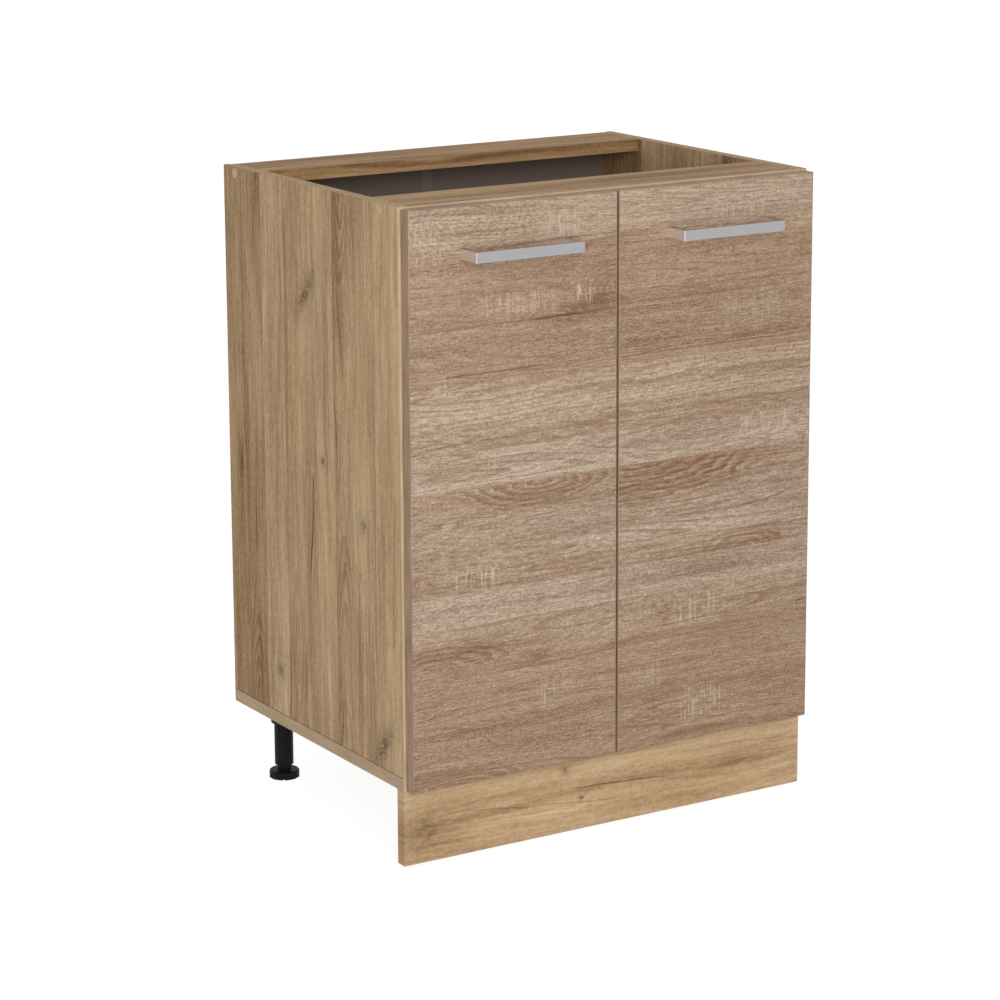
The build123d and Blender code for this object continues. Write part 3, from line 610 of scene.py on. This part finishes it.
door_planks = {
    "range": (carcass_low, door_high),
    "stops": [
        (carcass_low, (0.375, 0.6, 0.1)),
        (door_high - 0.696, (0.38, 0.3, 0.6)),
        (door_high - 0.641, (0.43, 0.35, 0.3)),
        (door_high - 0.5625, (0.50, 0.3, 0.8)),
        (door_high - 0.5175, (0.54, 0.1, 0.45)),
        (door_high - 0.474, (0.44, 0.25, 0.5)),
        (door_high - 0.450, (0.48, 0.12, 0.9)),
        (door_high - 0.375, (0.47, 0.3, 0.2)),
        (door_high - 0.347, (0.585, 0.1, 0.7)),
        (door_high - 0.300, (0.51, 0.25, 0.1)),
        (door_high - 0.2775, (0.53, 0.25, 0.5)),
        (door_high - 0.2175, (0.39, 0.6, 0.75)),
        (door_high - 0.202, (0.43, 0.3, 0.25)),
        (door_high - 0.146, (0.46, 0.5, 0.55)),
        (door_high - 0.052, (0.57, 0.2, 0.35)),
    ],
}
door_knots = [
    (door_place(0.240, 0.138), (0.016, 0.008), 0.3, 0.35),
    (door_place(0.268, 0.132), (0.012, 0.010), 0.3, 0.3),
]
door_cracks = [
    (door_place(0.170, 0.147), door_place(0.300, 0.143), 0.0040, 0.5),
    (door_place(0.010, 0.148), door_place(0.240, 0.145), 0.0022, 0.35),
    (door_place(0.100, 0.054), door_place(0.297, 0.050), 0.0030, 0.4),
    (door_place(0.030, 0.206), door_place(0.190, 0.203), 0.0028, 0.5),
    (door_place(0.120, 0.209), door_place(0.297, 0.2035), 0.0018, 0.3),
    (door_place(0.000, 0.290), door_place(0.297, 0.283), 0.0020, 0.35),
    (door_place(0.040, 0.4715), door_place(0.280, 0.4655), 0.0020, 0.3),
    (door_place(0.300, 0.056), door_place(0.594, 0.060), 0.0022, 0.35),
    (door_place(0.300, 0.140), door_place(0.560, 0.137), 0.0030, 0.35),
    (door_place(0.330, 0.124), door_place(0.590, 0.128), 0.0018, 0.3),
    (door_place(0.300, 0.206), door_place(0.594, 0.204), 0.0026, 0.45),
    (door_place(0.300, 0.281), door_place(0.590, 0.279), 0.0018, 0.3),
    (door_place(0.360, 0.445), door_place(0.594, 0.452), 0.0020, 0.3),
    (door_place(0.330, 0.560), door_place(0.590, 0.556), 0.0020, 0.3),
]
door_shades = [
    (door_place(0.270, 0.134), (0.060, 0.012), -0.22),
    (door_place(0.430, 0.135), (0.110, 0.012), -0.14),
    (door_place(0.400, 0.362), (0.130, 0.016), -0.14),
    (door_place(0.150, 0.365), (0.130, 0.012), -0.10),
    (door_place(0.220, 0.062), (0.120, 0.004), -0.20),
    (door_place(0.090, 0.552), (0.120, 0.008), -0.16),
    (door_place(0.540, 0.325), (0.120, 0.014), 0.10),
    (door_place(0.110, 0.420), (0.160, 0.050), 0.16),
    (door_place(0.440, 0.440), (0.200, 0.030), 0.10),
    (door_place(0.120, 0.250), (0.160, 0.024), 0.12),
    (door_place(0.450, 0.668), (0.160, 0.022), 0.14),
    (door_place(0.450, 0.540), (0.170, 0.022), -0.08),
    (door_place(0.440, 0.174), (0.170, 0.028), -0.07),
    (door_place(0.430, 0.322), (0.160, 0.026), -0.06),
    (door_place(0.450, 0.496), (0.170, 0.024), -0.06),
    (door_place(0.150, 0.289), (0.170, 0.012), 0.06),
    (door_place(0.150, 0.462), (0.170, 0.013), 0.04),
]


def strip(upper, lower):
    """The heights between two distances from the doors' top."""
    return (door_high - lower, door_high - upper, sharp)


left_door = (-0.3, 0, sharp)
right_door = (0, 0.3, sharp)
door_arches = [
    (door_place(0.180, 0.347), (0.125, 0.036), 6, 0.6, strip(0.347, 0.40), left_door),
    (door_place(0.330, 0.340), (0.240, 0.066), 9, 0.6, strip(0.347, 0.41), right_door),
    (door_place(0.040, 0.5625), (0.125, 0.030), 5, 0.6, strip(0.517, 0.5625), left_door),
    (door_place(0.060, 0.718), (0.130, 0.022), 5, 0.5, strip(0.696, 0.718), left_door),
    (door_place(0.300, 0.118), (0.060, 0.034), 7, 0.45, strip(0.085, 0.146), left_door),
    (door_place(0.200, 0.152), (0.075, 0.030), 6, 0.35, strip(0.100, 0.146), left_door),
    (door_place(0.085, 0.020), (0.110, 0.060), 12, 0.25, strip(0, 0.070), left_door),
    (door_place(0.490, 0.474), (0.080, 0.030), 5, 0.4, strip(0.43, 0.474), right_door),
    (door_place(0.600, 0.5625), (0.040, 0.014), 3, 0.5, strip(0.517, 0.5625), right_door),
    (door_place(0.400, 0.347), (0.300, 0.120), 12, 0.22, strip(0.347, 0.44), right_door),
    (door_place(0.180, 0.430), (0.260, 0.080), 10, 0.2, strip(0.375, 0.474), left_door),
    (door_place(0.140, 0.300), (0.260, 0.040), 6, 0.22, strip(0.2775, 0.347), left_door),
    (door_place(0.430, 0.310), (0.220, 0.050), 7, 0.25, strip(0.2775, 0.347), right_door),
    (door_place(0.420, 0.720), (0.300, 0.090), 9, 0.2, strip(0.60, 0.718), right_door),
]
door_saws = [
    (door_place(0.152, 0.125), (0.070, 0.018), 0.4),
    (door_place(0.248, 0.122), (0.014, 0.024), 0.85),
    (door_place(0.030, 0.045), (0.045, 0.030), 0.35),
    (door_place(0.215, 0.034), (0.030, 0.018), 0.5),
    (door_place(0.480, 0.038), (0.050, 0.012), 0.45),
    (door_place(0.046, 0.215), (0.016, 0.016), 0.5),
    (door_place(0.115, 0.315), (0.015, 0.014), 0.4),
    (door_place(0.530, 0.314), (0.066, 0.018), 0.5),
    (door_place(0.083, 0.460), (0.050, 0.020), 0.55),
    (door_place(0.420, 0.545), (0.045, 0.024), 0.5),
    (door_place(0.200, 0.620), (0.026, 0.026), 0.5),
    (door_place(0.345, 0.620), (0.030, 0.022), 0.35),
    (door_place(0.430, 0.668), (0.044, 0.028), 0.45),
    (door_place(0.415, 0.215), (0.030, 0.018), 0.35),
    (door_place(0.500, 0.160), (0.050, 0.030), 0.2),
]
door_oak = oak(
    "door_oak", (0, 2), door_planks, door_colours, door_looks, (), door_knots, door_cracks, door_arches,
    door_saws, door_shades,
)

# By the start of a node's name, the longer starts first
materials = {
    "carcass_edge_bands": band_wood("carcass_band", srgb(208, 180, 148), 0.2, (1, 2), 0.34),
    "door_edge_bands": band_wood("door_band", srgb(158, 132, 108), 0.34, (2, 1)),
    # The outer colour is raw hardboard made lighter: painted light for a face the lamp does not reach
    "back_panel": hardboard("back_board", srgb(138, 126, 119), srgb(172, 134, 96)),
    "back_joint": speckled("profile_plastic", srgb(142, 130, 123), 0.02, (0.4, 0.5), 700, 0.00003),
    "handle_screws": brushed("screw_steel", srgb(190, 188, 182), (0.3, 0.45), 1),
    # The second colour, on the legs' sides, is a painted sheen
    "handle": satin_bow("handle_satin", srgb(175, 175, 177), srgb(226, 218, 211)),
    "leg": speckled("leg_plastic", srgb(16, 16, 17), 0.15, (0.45, 0.6), 900, 0.00004, specular=0.12),
    "plinth_clips": speckled(
        "clip_plastic", srgb(32, 32, 33), 0.15, (0.45, 0.6), 900, 0.00004, specular=0.2
    ),
    "screw_cover_caps": speckled("cap_plastic", srgb(186, 158, 118), 0.04, (0.35, 0.45), 900, 0.00003),
    "dowels": speckled("dowel_wood", srgb(214, 180, 136), 0.08, (0.6, 0.75), 600, 0.0001),
    "hinge": brushed("hinge_nickel", srgb(200, 198, 192), (0.22, 0.35), 2),
}
steel = materials["handle_screws"]


def finish_of(node):
    """The material for a node, from its name."""
    if node in ("side_left", "side_right"):
        return side_oak
    if node in ("door_left", "door_right"):
        return door_oak
    if node == "plinth_board":
        return plinth_oak
    if node in ("bottom_panel", "top_rail_front", "top_rail_rear", "shelf"):
        return rail_oak
    for start, material in materials.items():
        if node.startswith(start):
            return material
    return steel


for node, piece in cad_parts.items():
    piece.data.materials.clear()
    piece.data.materials.append(finish_of(node))


def floor_material():
    """Pale floor: white to the camera but for the object's shadow."""
    shader = Shader("floor_white")
    shader.set(Base_Color=(0.8, 0.8, 0.8, 1), Roughness=0.9, Specular_IOR_Level=0.1)
    glow = shader.nodes.new("ShaderNodeEmission")
    glow.inputs["Strength"].default_value = floor_glow
    mix = shader.nodes.new("ShaderNodeMixShader")
    rays = shader.nodes.new("ShaderNodeLightPath")
    seen = shader.math("MAXIMUM", rays.outputs["Is Camera Ray"], rays.outputs["Is Glossy Ray"])
    shader.feed(mix.inputs[0], shader.times(seen, floor_glow_share))
    shader.links.new(shader.surface.outputs[0], mix.inputs[1])
    shader.links.new(glow.outputs[0], mix.inputs[2])
    shader.links.new(mix.outputs[0], shader.output.inputs["Surface"])
    return shader.material


def make_floor():
    mesh = bpy.data.meshes.new("studio_floor")
    near, far = -floor_reach, floor_reach
    corners = [(near, near, 0), (far, near, 0), (far, far, 0), (near, far, 0)]
    mesh.from_pydata(corners, [], [(0, 1, 2, 3)])
    floor = bpy.data.objects.new("studio_floor", mesh)
    bpy.context.collection.objects.link(floor)
    mesh.materials.append(floor_material())


def make_world():
    world = bpy.data.worlds.new("studio")
    bpy.context.scene.world = world
    world.use_nodes = True
    nodes, links = world.node_tree.nodes, world.node_tree.links
    nodes.clear()
    output = nodes.new("ShaderNodeOutputWorld")
    background = nodes.new("ShaderNodeBackground")
    rays = nodes.new("ShaderNodeLightPath")
    seen = nodes.new("ShaderNodeMath")
    seen.operation = "MAXIMUM"
    level = nodes.new("ShaderNodeMapRange")
    level.inputs["To Min"].default_value = sky_on_object
    level.inputs["To Max"].default_value = sky_as_seen
    links.new(rays.outputs["Is Camera Ray"], seen.inputs[0])
    links.new(rays.outputs["Is Glossy Ray"], seen.inputs[1])
    links.new(seen.outputs[0], level.inputs["Value"])
    links.new(level.outputs[0], background.inputs["Strength"])
    background.inputs["Color"].default_value = (1, 1, 1, 1)
    links.new(background.outputs[0], output.inputs["Surface"])


def make_lamp(name, place, target, size, power):
    lamp = bpy.data.lights.new(name, "AREA")
    lamp.shape = "SQUARE"
    lamp.size = size
    lamp.energy = power
    holder = bpy.data.objects.new(name, lamp)
    bpy.context.collection.objects.link(holder)
    holder.location = place
    aim = [far - near for near, far in zip(place, target)]
    holder.rotation_euler = Vector(aim).to_track_quat("-Z", "Y").to_euler()


def make_camera():
    camera = bpy.data.cameras.new("camera")
    camera.sensor_width = 36
    camera.lens = camera.sensor_width * camera_focal_pixels / image_pixels
    camera.shift_x, camera.shift_y = camera_shift
    holder = bpy.data.objects.new("camera", camera)
    bpy.context.collection.objects.link(holder)
    angles = (camera_azimuth, camera_elevation, camera_roll)
    azimuth, elevation, roll = (math.radians(each) for each in angles)
    turn = Matrix.Rotation(azimuth, 3, "Z") @ Matrix.Rotation(math.pi / 2 - elevation, 3, "X")
    turn = turn @ Matrix.Rotation(roll, 3, "Z")
    holder.location = camera_place
    holder.rotation_euler = turn.to_euler()
    bpy.context.scene.camera = holder


make_floor()
make_world()
make_lamp("key", place=(-2.0, -4.1, 1.6), target=(0, 0, 0.4), size=2.6, power=116)
make_camera()
bpy.context.scene.view_settings.view_transform = "Standard"
